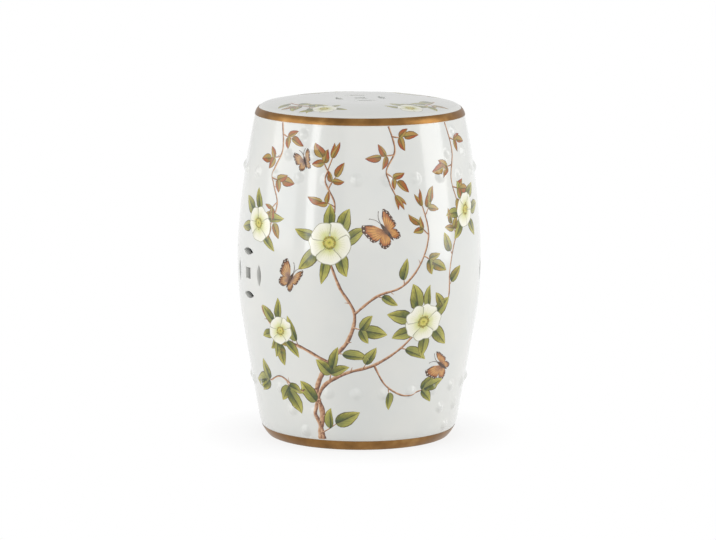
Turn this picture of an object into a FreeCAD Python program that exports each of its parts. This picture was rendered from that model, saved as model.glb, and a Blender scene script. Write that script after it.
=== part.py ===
# Ceramic garden stool: a glazed porcelain drum with a pierced seat, a luted foot ring,
# two gilt bands and rows of sprigged nail-head studs.
# Millimetres, +Z up, origin at the centre of the foot on the ground, front towards -Y.
import FreeCAD, Part
import Sketcher
import os

doc = FreeCAD.newDocument("garden_stool")

# Driving dimensions: alias, value and what it measures.
SIZES = [
    ("stool_height", 457, "floor to the crown of the seat"),
    ("belly_diameter", 328.6, "widest place of the drum"),
    ("belly_height", 241, "height of the widest place"),
    ("belly_arc", 500, "radius of the bulge seen from the side"),
    ("belly_turn", 3.7, "degrees of lean where the bulge passes into the flatter upper sweep"),
    ("rim_lean", 12, "degrees of lean of the wall under the seat"),
    ("foot_lean", 9.8, "degrees of lean of the straight wall above the foot"),
    ("wall", 8, "thickness of the drum wall"),
    ("tuck_height", 26, "height where the wall starts to tuck in to the foot"),
    ("tuck_in", 13.6, "how far the wall tucks in from there down to the floor"),
    ("foot_joint", 8, "height of the luted joint between foot ring and wall"),
    ("foot_face", 13, "width of the face that stands on the floor"),
    ("foot_flange", 9, "how far the flange reaches in past the standing face"),
    ("foot_relief", 3, "lift of the flange off the floor"),
    ("seat_thickness", 9, "thickness of the seat slab"),
    ("shoulder", 18, "radius of the rounded edge of the seat"),
    ("brow", 328, "radius of the fall from the flat crown to the edge"),
    ("brow_drop", 12, "degrees of slope where the brow meets the rounded edge"),
    ("glaze", 0.15, "glaze between the clay and the gilt"),
    ("band_film", 0.3, "thickness of the gilt bands"),
    ("seat_band_lean", 45, "degrees of lean of the rounded edge where the seat band ends"),
    ("foot_band_low", 1.2, "height of the foot band's lower edge"),
    ("foot_band_top", 13.8, "height of the foot band's upper edge"),
    ("coin_angle", 12, "degrees from the side's middle to a coin's middle"),
    ("coin_height", 230, "height of the coins in the wall"),
    ("coin_square", 15, "side of a coin's square hole"),
    ("petal_reach", 29.4, "coin's middle to the middle of a petal hole"),
    ("petal_length", 29, "tip to tip of a petal hole"),
    ("petal_width", 9.6, "widest place of a petal hole"),
    ("stud_diameter", 15, "foot of a stud"),
    ("stud_height", 3.2, "rise of a stud off the wall"),
    ("stud_sides", 12, "facets around a stud's dome"),
    ("stud_brow", 1.9, "height where the dome's lower facets meet its upper ones"),
    ("stud_flat", 4, "across the small flat on a stud's crown"),
    ("studs_around", 24, "number of studs in a full row"),
    ("panels", 4, "number of stud triangles around the drum"),
    ("upper_row_1", 35, "drop from the crown to the single studs under the seat"),
    ("upper_row_2", 62.5, "drop from the crown to the paired studs under the seat"),
    ("upper_row_3", 91, "drop from the crown to the full row under the seat"),
    ("lower_row_1", 80, "height of the full row above the foot"),
    ("lower_row_2", 52, "height of the paired studs above the foot"),
    ("lower_row_3", 25, "height of the single studs above the foot"),
]

# Values worked out from the driving dimensions. Radii are from the stool's axis.
WORKED = [
    ("seat_rise", "=sizes.brow * (1 - cos(sizes.brow_drop))"
                  " + sizes.shoulder * (cos(sizes.brow_drop) - sin(sizes.rim_lean))"),
    ("rim_z", "=sizes.stool_height - seat_rise"),
    ("belly_centre_r", "=sizes.belly_diameter / 2 - sizes.belly_arc"),
    ("belly_low_r", "=belly_centre_r + sizes.belly_arc * cos(sizes.foot_lean)"),
    ("belly_low_z", "=sizes.belly_height - sizes.belly_arc * sin(sizes.foot_lean)"),
    ("belly_top_r", "=belly_centre_r + sizes.belly_arc * cos(sizes.belly_turn)"),
    ("belly_top_z", "=sizes.belly_height + sizes.belly_arc * sin(sizes.belly_turn)"),
    ("sweep", "=(rim_z - belly_top_z) / (sin(sizes.rim_lean) - sin(sizes.belly_turn))"),
    ("sweep_centre_r", "=belly_top_r - sweep * cos(sizes.belly_turn)"),
    ("sweep_centre_z", "=belly_top_z - sweep * sin(sizes.belly_turn)"),
    ("rim_r", "=sweep_centre_r + sweep * cos(sizes.rim_lean)"),
    ("rim_inner_r", "=sweep_centre_r + sqrt((sweep - sizes.wall)^2 - (rim_z - sweep_centre_z)^2)"),
    ("sweep_middle", "=(sizes.rim_lean + sizes.belly_turn) / 2"),
    ("tuck_r", "=belly_low_r - (belly_low_z - sizes.tuck_height) * tan(sizes.foot_lean)"),
    ("foot_r", "=tuck_r - sizes.tuck_in"),
    ("tuck", "=(sizes.tuck_in^2 + sizes.tuck_height^2)"
             " / (2 * (sizes.tuck_in * cos(sizes.foot_lean) - sizes.tuck_height * sin(sizes.foot_lean)))"),
    ("tuck_centre_r", "=tuck_r - tuck * cos(sizes.foot_lean)"),
    ("tuck_centre_z", "=sizes.tuck_height + tuck * sin(sizes.foot_lean)"),
    ("joint_outer_r", "=tuck_centre_r + sqrt(tuck^2 - (sizes.foot_joint - tuck_centre_z)^2)"),
    ("joint_inner_r", "=tuck_centre_r + sqrt((tuck - sizes.wall)^2 - (sizes.foot_joint - tuck_centre_z)^2)"),
    ("shoulder_centre_r", "=rim_r - sizes.shoulder * cos(sizes.rim_lean)"),
    ("shoulder_centre_z", "=rim_z - sizes.shoulder * sin(sizes.rim_lean)"),
    ("crown_r", "=shoulder_centre_r - (sizes.brow - sizes.shoulder) * sin(sizes.brow_drop)"),
    ("brow_centre_z", "=sizes.stool_height - sizes.brow"),
    ("dome", "=(sizes.stud_diameter^2 / 4 + sizes.stud_height^2) / (2 * sizes.stud_height)"),
    ("brow_r", "=sqrt(dome^2 - (dome - sizes.stud_height + sizes.stud_brow)^2)"),
    ("petal_arc", "=(sizes.petal_length^2 + sizes.petal_width^2) / (4 * sizes.petal_width)"),
    ("stud_pitch", "=360 / sizes.studs_around"),
    ("panel_pitch", "=360 / sizes.panels"),
]

UPPER_ROWS = ["upper_row_1", "upper_row_2", "upper_row_3"]
LOWER_ROWS = ["lower_row_1", "lower_row_2", "lower_row_3"]


def fill_sheet(name, rows):
    """Make a spreadsheet whose column B holds the values under their aliases."""
    sheet = doc.addObject("Spreadsheet::Sheet", name)
    for number, (alias, content, *note) in enumerate(rows, start=1):
        sheet.set(f"A{number}", alias)
        sheet.set(f"B{number}", str(content))
        sheet.setAlias(f"B{number}", alias)
        if note:
            sheet.set(f"C{number}", note[0])
    return sheet


def row_places():
    """Height of each row of studs, and radius and tilt of the wall there: the rows above are on
    the upper sweep, those below on the straight wall."""
    places = []
    for row in UPPER_ROWS:
        rise = f"({row}_z - sweep_centre_z)"
        places.append((f"{row}_z", f"=sizes.stool_height - sizes.{row}"))
        places.append((f"{row}_r", f"=sweep_centre_r + sqrt(sweep^2 - {rise}^2)"))
        places.append((f"{row}_tilt", f"=asin({rise} / sweep) / 1 deg"))
    for row in LOWER_ROWS:
        places.append((f"{row}_z", f"=sizes.{row}"))
        places.append((f"{row}_r", f"=tuck_r + ({row}_z - sizes.tuck_height) * tan(sizes.foot_lean)"))
        places.append((f"{row}_tilt", "=-sizes.foot_lean"))
    return places


def plane(body, role):
    """The body's own origin plane or axis with this role."""
    return next(feature for feature in body.Origin.OriginFeatures if feature.Role == role)


def new_body(name):
    body = doc.addObject("PartDesign::Body", name)
    body.Label = name
    body.AllowCompound = True
    return body


def new_sketch(body, name, role, turn=None):
    """A sketch on an origin plane, turned about the stool's axis by an expression in degrees."""
    sketch = body.newObject("Sketcher::SketchObject", name)
    sketch.AttachmentSupport = [(plane(body, role), "")]
    sketch.MapMode = "FlatFace"
    if turn:
        sketch.AttachmentOffset = FreeCAD.Placement(FreeCAD.Vector(), FreeCAD.Rotation(FreeCAD.Vector(0, 1, 0), 1))
        sketch.setExpression("AttachmentOffset.Rotation.Angle", turn)
    return sketch


def fix(sketch, kind, *args):
    """Add a constraint whose last argument is an expression."""
    *where, expression = args
    value = float(sketch.evalExpression(expression))
    index = sketch.addConstraint(Sketcher.Constraint(kind, *where, value))
    sketch.setExpression(f"Constraints[{index}]", expression)


def outline(sketch, corners, arcs):
    """Draw a closed outline through the corners, each a pair of expressions. An entry in arcs
    bends the side that leaves that corner: centre, radius and whether it runs anticlockwise."""
    points = [FreeCAD.Vector(*(float(sketch.evalExpression(text)) for text in corner)) for corner in corners]
    ends = []
    for side, start in enumerate(points):
        stop = points[(side + 1) % len(points)]
        if side not in arcs:
            geometry = sketch.addGeometry(Part.LineSegment(start, stop))
            ends.append((geometry, 1, 2))
            continue
        centre_x, centre_y, radius, anticlockwise = arcs[side]
        centre = FreeCAD.Vector(float(sketch.evalExpression(centre_x)), float(sketch.evalExpression(centre_y)))
        circle = Part.Circle(centre, FreeCAD.Vector(0, 0, 1), (start - centre).Length)
        first, last = (start, stop) if anticlockwise else (stop, start)
        geometry = sketch.addGeometry(Part.ArcOfCircle(circle, circle.parameter(first), circle.parameter(last)))
        ends.append((geometry, 1, 2) if anticlockwise else (geometry, 2, 1))
    for side, (geometry, start, stop) in enumerate(ends):
        following, its_start, _ = ends[(side + 1) % len(ends)]
        sketch.addConstraint(Sketcher.Constraint("Coincident", geometry, stop, following, its_start))
    for (geometry, start, _), (x, y) in zip(ends, corners):
        fix(sketch, "DistanceX", geometry, start, x)
        fix(sketch, "DistanceY", geometry, start, y)
    for side, (_, _, radius, _) in arcs.items():
        fix(sketch, "Radius", ends[side][0], radius)


def revolve(body, sketch, name, axis="V_Axis"):
    feature = body.newObject("PartDesign::Revolution", name)
    feature.Profile = sketch
    feature.ReferenceAxis = (sketch, [axis])
    feature.Angle = 360
    return feature


def cut_outwards(body, sketch, name):
    """Cut from the sketch plane through everything on the side that its normal points to."""
    pocket = body.newObject("PartDesign::Pocket", name)
    pocket.Profile = sketch
    pocket.Type = "ThroughAll"
    pocket.Reversed = True
    return pocket


def around_axis(body, features, count, name):
    """Repeat features evenly around the stool's axis."""
    pattern = body.newObject("PartDesign::PolarPattern", name)
    pattern.Originals = features
    pattern.Axis = (plane(body, "Z_Axis"), [""])
    pattern.Angle = 360
    pattern.setExpression("Occurrences", count)
    body.Tip = pattern
    return pattern


TUCK = ("worked.tuck_centre_r", "worked.tuck_centre_z")
BELLY = ("worked.belly_centre_r", "sizes.belly_height")
SWEEP = ("worked.sweep_centre_r", "worked.sweep_centre_z")
SHOULDER = ("worked.shoulder_centre_r", "worked.shoulder_centre_z")
BROW = ("worked.crown_r", "worked.brow_centre_z")


def from_centre(centre, radius, angle):
    """The point at a radius and an angle above the horizontal from an arc's centre."""
    return (f"{centre[0]} + ({radius}) * cos({angle})", f"{centre[1]} + ({radius}) * sin({angle})")


def barrel_wall():
    """The bulging drum, pierced on both sides with two linked coins. It is curved outside, and
    inside it is turned in straight stretches that keep at least the wall's thickness."""
    body = new_body("barrel_wall")
    section = new_sketch(body, "wall_section", "XZ_Plane")
    belly_inside = "sizes.belly_arc - sizes.wall"
    corners = [
        ("worked.joint_outer_r", "sizes.foot_joint"),
        ("worked.tuck_r", "sizes.tuck_height"),
        ("worked.belly_low_r", "worked.belly_low_z"),
        ("worked.belly_top_r", "worked.belly_top_z"),
        ("worked.rim_r", "worked.rim_z"),
        ("worked.rim_inner_r", "worked.rim_z"),
        from_centre(SWEEP, "worked.sweep - sizes.wall", "worked.sweep_middle"),
        from_centre(BELLY, belly_inside, "sizes.belly_turn"),
        from_centre(BELLY, belly_inside, "0"),
        from_centre(BELLY, belly_inside, "-sizes.foot_lean"),
        from_centre(TUCK, "worked.tuck - sizes.wall", "-sizes.foot_lean"),
        ("worked.joint_inner_r", "sizes.foot_joint"),
    ]
    arcs = {
        0: (*TUCK, "worked.tuck", True),
        2: (*BELLY, "sizes.belly_arc", True),
        3: (*SWEEP, "worked.sweep", True),
    }
    outline(section, corners, arcs)
    revolve(body, section, "wall_turned")
    coins = []
    for name, turn, away in (("left_coin", "-sizes.coin_angle", "-sizes.petal_reach"),
                             ("right_coin", "sizes.coin_angle", "sizes.petal_reach")):
        sketch = new_sketch(body, f"{name}_sketch", "YZ_Plane", turn)
        square(sketch, "sizes.coin_height")
        lying_petal(sketch, "0", "sizes.coin_height + sizes.petal_reach")
        lying_petal(sketch, "0", "sizes.coin_height - sizes.petal_reach")
        standing_petal(sketch, away, "sizes.coin_height")
        coins.append(cut_outwards(body, sketch, name))
    shared = new_sketch(body, "shared_petal_sketch", "YZ_Plane")
    standing_petal(shared, "0", "sizes.coin_height")
    coins.append(cut_outwards(body, shared, "shared_petal"))
    around_axis(body, coins, "2", "coins_on_both_sides")
    return body


def square(sketch, middle):
    """A coin's square hole, centred across the sketch at a height."""
    half = "sizes.coin_square / 2"
    corners = [(f"-{half}", f"{middle} - {half}"), (half, f"{middle} - {half}"),
               (half, f"{middle} + {half}"), (f"-{half}", f"{middle} + {half}")]
    outline(sketch, corners, {})


def lying_petal(sketch, x, y):
    """A petal hole whose tips point left and right."""
    sink = "(worked.petal_arc - sizes.petal_width / 2)"
    corners = [(f"{x} - sizes.petal_length / 2", y), (f"{x} + sizes.petal_length / 2", y)]
    arcs = {0: (x, f"{y} + {sink}", "worked.petal_arc", True), 1: (x, f"{y} - {sink}", "worked.petal_arc", True)}
    outline(sketch, corners, arcs)


def standing_petal(sketch, x, y):
    """A petal hole whose tips point up and down."""
    sink = "(worked.petal_arc - sizes.petal_width / 2)"
    corners = [(x, f"{y} - sizes.petal_length / 2"), (x, f"{y} + sizes.petal_length / 2")]
    arcs = {0: (f"{x} - {sink}", y, "worked.petal_arc", True), 1: (f"{x} + {sink}", y, "worked.petal_arc", True)}
    outline(sketch, corners, arcs)


def seat_disc():
    """The slab that closes the drum: flat crown, falling brow, rounded edge, one pierced coin."""
    body = new_body("seat_disc")
    section = new_sketch(body, "seat_section", "XZ_Plane")
    underside = "sizes.stool_height - sizes.seat_thickness"
    corners = [
        ("0", underside),
        ("worked.crown_r", underside),
        from_centre(BROW, "sizes.brow - sizes.seat_thickness", "90 - sizes.brow_drop"),
        ("worked.rim_inner_r", "worked.rim_z"),
        ("worked.rim_r", "worked.rim_z"),
        from_centre(SHOULDER, "sizes.shoulder", "90 - sizes.brow_drop"),
        ("worked.crown_r", "sizes.stool_height"),
        ("0", "sizes.stool_height"),
    ]
    arcs = {
        4: (*SHOULDER, "sizes.shoulder", True),
        5: (*BROW, "sizes.brow", True),
    }
    outline(section, corners, arcs)
    revolve(body, section, "seat_turned")
    coin = new_sketch(body, "seat_coin_sketch", "XY_Plane")
    square(coin, "0")
    lying_petal(coin, "0", "sizes.petal_reach")
    lying_petal(coin, "0", "-sizes.petal_reach")
    standing_petal(coin, "sizes.petal_reach", "0")
    standing_petal(coin, "-sizes.petal_reach", "0")
    cut_outwards(body, coin, "seat_coin")
    return body


def foot_ring():
    """The unglazed ring that stands on the floor, with a raised flange inside it."""
    body = new_body("foot_ring")
    section = new_sketch(body, "foot_section", "XZ_Plane")
    face_inner = "worked.foot_r - sizes.foot_face"
    flange_inner = f"{face_inner} - sizes.foot_flange"
    corners = [
        (face_inner, "0"),
        ("worked.foot_r", "0"),
        ("worked.joint_outer_r", "sizes.foot_joint"),
        (flange_inner, "sizes.foot_joint"),
        (flange_inner, "sizes.foot_relief"),
        (f"{face_inner} - sizes.foot_relief / 2", "sizes.foot_relief"),
    ]
    outline(section, corners, {1: (*TUCK, "worked.tuck", True)})
    revolve(body, section, "foot_turned")
    return body


def seat_band():
    """The gilt band over the seat's rounded edge, its lower side at the joint of seat and wall."""
    body = new_body("seat_band")
    section = new_sketch(body, "seat_band_section", "XZ_Plane")
    under = "sizes.shoulder + sizes.glaze"
    film = f"{under} + sizes.band_film"
    corners = [
        from_centre(SHOULDER, under, "sizes.rim_lean"),
        from_centre(SHOULDER, film, "sizes.rim_lean"),
        from_centre(SHOULDER, film, "sizes.seat_band_lean"),
        from_centre(SHOULDER, under, "sizes.seat_band_lean"),
    ]
    arcs = {1: (*SHOULDER, film, True), 3: (*SHOULDER, under, False)}
    outline(section, corners, arcs)
    revolve(body, section, "seat_band_turned")
    return body


def foot_band():
    """The gilt band round the tucked foot, lapping the joint of wall and foot ring."""
    body = new_body("foot_band")
    section = new_sketch(body, "foot_band_section", "XZ_Plane")
    angles = [f"asin((sizes.{edge} - worked.tuck_centre_z) / worked.tuck)"
              for edge in ("foot_band_low", "foot_band_top")]
    under = "worked.tuck + sizes.glaze"
    film = f"{under} + sizes.band_film"
    corners = [
        from_centre(TUCK, under, angles[0]),
        from_centre(TUCK, film, angles[0]),
        from_centre(TUCK, film, angles[1]),
        from_centre(TUCK, under, angles[1]),
    ]
    arcs = {1: (*TUCK, film, True), 3: (*TUCK, under, False)}
    outline(section, corners, arcs)
    revolve(body, section, "foot_band_turned")
    return body


def wall_sketch(body, row, name, out):
    """A sketch square to the wall's normal at a row of studs, so far out from the wall."""
    sketch = new_sketch(body, name, "YZ_Plane")
    sketch.AttachmentOffset = FreeCAD.Placement(FreeCAD.Vector(), FreeCAD.Rotation(FreeCAD.Vector(1, 0, 0), 1))
    sketch.setExpression("AttachmentOffset.Rotation.Angle", f"-worked.{row}_tilt")
    sketch.setExpression("AttachmentOffset.Base.y", f"worked.{row}_z + {out} * sin(worked.{row}_tilt)")
    sketch.setExpression("AttachmentOffset.Base.z", f"worked.{row}_r + {out} * cos(worked.{row}_tilt)")
    return sketch


def stud(body, row):
    """One domed stud standing on the wall, lofted through three polygons."""
    rings = []
    sides = [f"({side} * 360 / sizes.stud_sides)" for side in range(int(sizes.stud_sides))]
    for level, out, radius in (("foot", "0", "sizes.stud_diameter / 2"),
                               ("brow", "sizes.stud_brow", "worked.brow_r"),
                               ("flat", "sizes.stud_height", "sizes.stud_flat / 2")):
        sketch = wall_sketch(body, row, f"{row}_{level}", out)
        outline(sketch, [(f"{radius} * cos{turn}", f"{radius} * sin{turn}") for turn in sides], {})
        rings.append(sketch)
    loft = body.newObject("PartDesign::AdditiveLoft", f"{row}_stud")
    loft.Profile = rings[0]
    loft.Sections = rings[1:]
    loft.Ruled = True
    return loft


def stud_row(row, turn, count, pairs):
    """A row of studs: one stud repeated around the axis, alone or as a pair, and the whole row
    turned by an expression in degrees."""
    group, _, number = row.partition("_row_")
    body = new_body(f"{group}_studs_row_{number}")
    first = stud(body, row)
    if pairs:
        beside = body.newObject("PartDesign::PolarPattern", f"{row}_pair")
        beside.Axis = (plane(body, "Z_Axis"), [""])
        beside.Occurrences = 2
        beside.setExpression("Angle", "worked.stud_pitch")
        around = body.newObject("PartDesign::PolarPattern", f"{row}_around")
        around.Axis = (plane(body, "Z_Axis"), [""])
        around.Angle = 360
        around.setExpression("Occurrences", count)
        both = body.newObject("PartDesign::MultiTransform", f"{row}_pairs_around")
        both.Originals = [first]
        both.Transformations = [beside, around]
        body.Tip = both
    else:
        around_axis(body, [first], count, f"{row}_around")
    body.Placement = FreeCAD.Placement(FreeCAD.Vector(), FreeCAD.Rotation(FreeCAD.Vector(0, 0, 1), 1))
    body.setExpression("Placement.Rotation.Angle", turn)
    return body


sizes = fill_sheet("sizes", SIZES)
worked = fill_sheet("worked", WORKED + row_places())
doc.recompute()

pieces = [barrel_wall(), seat_disc(), foot_ring(), seat_band(), foot_band()]
corner = "worked.panel_pitch / 2"
beside_corner = "worked.panel_pitch / 2 - worked.stud_pitch / 2"
for row, turn, count, pairs in (
    ("upper_row_1", corner, "sizes.panels", False),
    ("upper_row_2", beside_corner, "sizes.panels", True),
    ("upper_row_3", "0", "sizes.studs_around", False),
    ("lower_row_1", "0", "sizes.studs_around", False),
    ("lower_row_2", beside_corner, "sizes.panels", True),
    ("lower_row_3", corner, "sizes.panels", False),
):
    pieces.append(stud_row(row, turn, count, pairs))
doc.recompute()

for item in doc.Objects:
    if "Invalid" in item.State or "Error" in item.State:
        raise RuntimeError(f"{item.Label} did not build: {item.State}")

os.makedirs("parts", exist_ok=True)
for piece in pieces:
    shape = piece.Shape
    if shape.isNull() or not shape.isValid():
        raise RuntimeError(f"{piece.Label} has no valid shape")
    box = shape.optimalBoundingBox()
    print(f"{piece.Label}: {len(shape.Solids)} solids, {shape.Volume / 1000:.1f} cm3, "
          f"z {box.ZMin:.2f} to {box.ZMax:.2f}, across {box.XLength:.2f}")
    shape.exportStep(f"parts/{piece.Label}.step")
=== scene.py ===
# Ceramic garden stool: glazed porcelain drum with pierced coins, gilt bands and an enamel painting
# of briar roses and butterflies. Metres in Blender; the sizes below are in millimetres, as in CAD.
import random
from functools import partial
from math import asin, atan2, copysign, cos, degrees, dist, exp, hypot, pi, radians, sin, sqrt, tan

import bmesh
import bpy
from mathutils import Matrix, Vector


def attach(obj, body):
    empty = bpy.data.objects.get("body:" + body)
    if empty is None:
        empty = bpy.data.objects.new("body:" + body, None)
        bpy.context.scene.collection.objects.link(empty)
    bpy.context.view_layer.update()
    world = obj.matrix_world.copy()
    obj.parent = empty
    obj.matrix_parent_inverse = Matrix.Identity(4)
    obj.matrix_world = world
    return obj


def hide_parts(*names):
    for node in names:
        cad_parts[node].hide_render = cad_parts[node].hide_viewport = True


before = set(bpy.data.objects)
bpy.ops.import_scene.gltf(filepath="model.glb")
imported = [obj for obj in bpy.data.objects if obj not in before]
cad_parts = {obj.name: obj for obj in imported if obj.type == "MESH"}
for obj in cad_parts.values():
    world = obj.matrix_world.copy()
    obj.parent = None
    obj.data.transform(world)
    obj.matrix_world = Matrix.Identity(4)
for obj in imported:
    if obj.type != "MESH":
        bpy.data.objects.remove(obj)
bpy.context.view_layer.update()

MM = 0.001

# The stool's own sizes, as the CAD has them.
STOOL_HEIGHT = 457.0
BELLY_R = 164.3
BELLY_Z = 241.0
BELLY_ARC = 500.0
BELLY_TURN = radians(3.7)
RIM_LEAN = radians(12.0)
FOOT_LEAN = radians(9.8)
WALL = 8.0
TUCK_Z = 26.0
TUCK_IN = 13.6
FOOT_JOINT = 8.0
FOOT_FACE = 13.0
FOOT_FLANGE = 9.0
FOOT_RELIEF = 3.0
SEAT_THICKNESS = 9.0
SHOULDER = 18.0
BROW = 328.0
BROW_DROP = radians(12.0)
GLAZE = 0.15
BAND_FILM = 0.3
SEAT_BAND_LEAN = radians(45.0)
FOOT_BAND = (1.2, 13.8)
COIN_TURN = radians(12.0)
COIN_Z = 230.0
COIN_SQUARE = 15.0
PETAL_REACH = 29.4
PETAL_LENGTH = 29.0
PETAL_WIDTH = 9.6
STUD_HEIGHT = 3.2

# Worked out from them: the centres and meeting points of the outline's arcs.
RIM_Z = STOOL_HEIGHT - BROW * (1 - cos(BROW_DROP))
RIM_Z -= SHOULDER * (cos(BROW_DROP) - sin(RIM_LEAN))
BELLY_C = BELLY_R - BELLY_ARC
BELLY_LOW = (BELLY_C + BELLY_ARC * cos(FOOT_LEAN), BELLY_Z - BELLY_ARC * sin(FOOT_LEAN))
BELLY_TOP = (BELLY_C + BELLY_ARC * cos(BELLY_TURN), BELLY_Z + BELLY_ARC * sin(BELLY_TURN))
SWEEP = (RIM_Z - BELLY_TOP[1]) / (sin(RIM_LEAN) - sin(BELLY_TURN))
SWEEP_C = (BELLY_TOP[0] - SWEEP * cos(BELLY_TURN), BELLY_TOP[1] - SWEEP * sin(BELLY_TURN))
RIM_R = SWEEP_C[0] + SWEEP * cos(RIM_LEAN)
TUCK_R = BELLY_LOW[0] - (BELLY_LOW[1] - TUCK_Z) * tan(FOOT_LEAN)
FOOT_R = TUCK_R - TUCK_IN
TUCK = (TUCK_IN**2 + TUCK_Z**2) / (2 * (TUCK_IN * cos(FOOT_LEAN) - TUCK_Z * sin(FOOT_LEAN)))
TUCK_C = (TUCK_R - TUCK * cos(FOOT_LEAN), TUCK_Z + TUCK * sin(FOOT_LEAN))
SHOULDER_C = (RIM_R - SHOULDER * cos(RIM_LEAN), RIM_Z - SHOULDER * sin(RIM_LEAN))
BROW_END = SHOULDER_C[0] + SHOULDER * sin(BROW_DROP)
CROWN_R = SHOULDER_C[0] - (BROW - SHOULDER) * sin(BROW_DROP)
PETAL_ARC = (PETAL_LENGTH**2 + PETAL_WIDTH**2) / (4 * PETAL_WIDTH)
COIN = (  # a coin's holes, across and up from its middle
    ("square", 0, 0),
    ("lying", 0, PETAL_REACH),
    ("lying", 0, -PETAL_REACH),
    ("standing", PETAL_REACH, 0),
    ("standing", -PETAL_REACH, 0),
)
STUD_ROWS = {  # a row's height, and where the studs of one quarter stand, in degrees from the front
    "upper_studs_row_1": (422.0, [45]),
    "upper_studs_row_2": (394.5, [37.5, 52.5]),
    "upper_studs_row_3": (366.0, [0, 15, 30, 45, 60, 75]),
    "lower_studs_row_1": (80.0, [0, 15, 30, 45, 60, 75]),
    "lower_studs_row_2": (52.0, [37.5, 52.5]),
    "lower_studs_row_3": (25.0, [45]),
}

# What the visual model adds to them.
TURN_STEPS = 240  # faces around a turned piece: ten to each stud of a full row
HOLE_STEPS = 40
HOLE_EDGE = 0.7  # the glaze rounds a hole's edge by so much
SHARP_EDGE = radians(50)
WELD = 0.15  # what the cut leaves closer than this is one point
COIN_SPAN = 50  # a coin lies within so much of its middle
SIDE_CUT = (120, 200)  # radii between which the drum's holes are cut
SEAT_CUT = 30  # the seat's are cut so far down and up from its top
STUD_SKIRT = 9.6  # wider than the CAD's, as the glaze pools round a stud
STUD_SHELL = 0.4
STUD_GAP = 0.01
PAINT_FILM = 0.2
PAINT_LOW, PAINT_HIGH = 14.4, RIM_Z - 0.1  # the drum's painting lies between the gilt bands
SEAT_PAINT_IN, SEAT_PAINT_OUT = 46, RIM_R - 10  # and the seat's between the coin and the band
HOLE_MARGIN = 2  # no mark comes nearer to a hole
STUD_CLEARANCE = 0.12  # a mark lies so much higher where it crosses a stud
STEM_STEP = 1.6
SPUR = 7
FRONT = -13.6  # the photograph looks at the stool from here, in degrees
FRONT_TURN = radians(FRONT)


def drum_outline(z):
    """Radius of the drum's outside at a height, and how far its normal points up."""
    if z < TUCK_Z:
        lean = asin((z - TUCK_C[1]) / TUCK)
        return TUCK_C[0] + TUCK * cos(lean), lean
    if z < BELLY_LOW[1]:
        return TUCK_R + (z - TUCK_Z) * tan(FOOT_LEAN), -FOOT_LEAN
    if z < BELLY_TOP[1]:
        lean = asin((z - BELLY_Z) / BELLY_ARC)
        return BELLY_C + BELLY_ARC * cos(lean), lean
    lean = asin((min(z, RIM_Z) - SWEEP_C[1]) / SWEEP)
    return SWEEP_C[0] + SWEEP * cos(lean), lean


def seat_height(r):
    """Height of the seat's top at a distance from the axis."""
    if r < CROWN_R:
        return STOOL_HEIGHT
    if r < BROW_END:
        return STOOL_HEIGHT - BROW + sqrt(BROW**2 - (r - CROWN_R) ** 2)
    return SHOULDER_C[1] + sqrt(max(SHOULDER**2 - (r - SHOULDER_C[0]) ** 2, 0.0))


def along_arc(centre, radius, start, stop, steps):
    """Points on an arc of the outline, its angles measured up from the outward horizontal."""
    turns = [start + (stop - start) * step / steps for step in range(steps + 1)]
    return [(centre[0] + radius * cos(turn), centre[1] + radius * sin(turn)) for turn in turns]


def srgb(code):
    """A hex colour as Blender's linear values."""
    parts = [int(code[i : i + 2], 16) / 255 for i in (1, 3, 5)]
    return (*[p / 12.92 if p <= 0.04045 else ((p + 0.055) / 1.055) ** 2.4 for p in parts], 1.0)


def cells(size):
    """The scale of a pattern whose grains or waves are this many millimetres wide."""
    return 1 / (size * MM)


def fill(made, inputs):
    """Give a node's inputs, by name or in order, their values or links."""
    for key, value in inputs.items() if isinstance(inputs, dict) else enumerate(inputs):
        if isinstance(value, bpy.types.NodeSocket):
            made.id_data.links.new(value, made.inputs[key])
        else:
            made.inputs[key].default_value = value


def node(tree, kind, inputs=(), output=0, stops=(), **settings):
    """Add a shader node with its settings, its inputs and, on a ramp, its (place, hex colour)
    stops, and give back one of its outputs."""
    made = tree.nodes.new("ShaderNode" + kind)
    for key, value in settings.items():
        setattr(made, key, value)
    fill(made, inputs)
    if stops:
        elements = made.color_ramp.elements
        while len(elements) < len(stops):
            elements.new(0.5)
        for element, (place, code) in zip(elements, stops):
            element.position = place
            element.color = srgb(code)
    return made.outputs[output]


def new_material(name):
    """A new material and its shader, with node() for its tree, and the object coordinates that its
    patterns use."""
    material = bpy.data.materials.new(name)
    material.use_nodes = True
    add = partial(node, material.node_tree)
    return material, material.node_tree.nodes["Principled BSDF"], add, add("TexCoord", output="Object")


def glazed_porcelain():
    """White porcelain under a clear fired glaze: a mirror-like skin over a soft white body, with the
    slow waves of a glaze that has flowed, and a hint of celadon where it lies thick."""
    material, shader, add, place = new_material("glazed_porcelain")
    pooling = add("TexNoise", {"Vector": place, "Scale": cells(71.43), "Detail": 3.0})
    white = add("ValToRGB", [pooling], stops=[(0.3, "#DFE1DE"), (0.7, "#E6E6E1")])
    waves = add("TexNoise", {"Vector": place, "Scale": cells(26.32), "Detail": 2.0})
    peel = add("TexNoise", {"Vector": place, "Scale": cells(2.381), "Detail": 1.0})
    slow = add("Bump", {"Strength": 0.1, "Distance": 1.2 * MM, "Height": waves})
    fine = add("Bump", {"Strength": 0.06, "Distance": 0.12 * MM, "Height": peel, "Normal": slow})
    fill(shader, {"Base Color": white, "Normal": fine, "Roughness": 0.16, "IOR": 1.5,
                  "Coat Weight": 0.35, "Coat Roughness": 0.05, "Coat IOR": 1.5})
    return material


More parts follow.
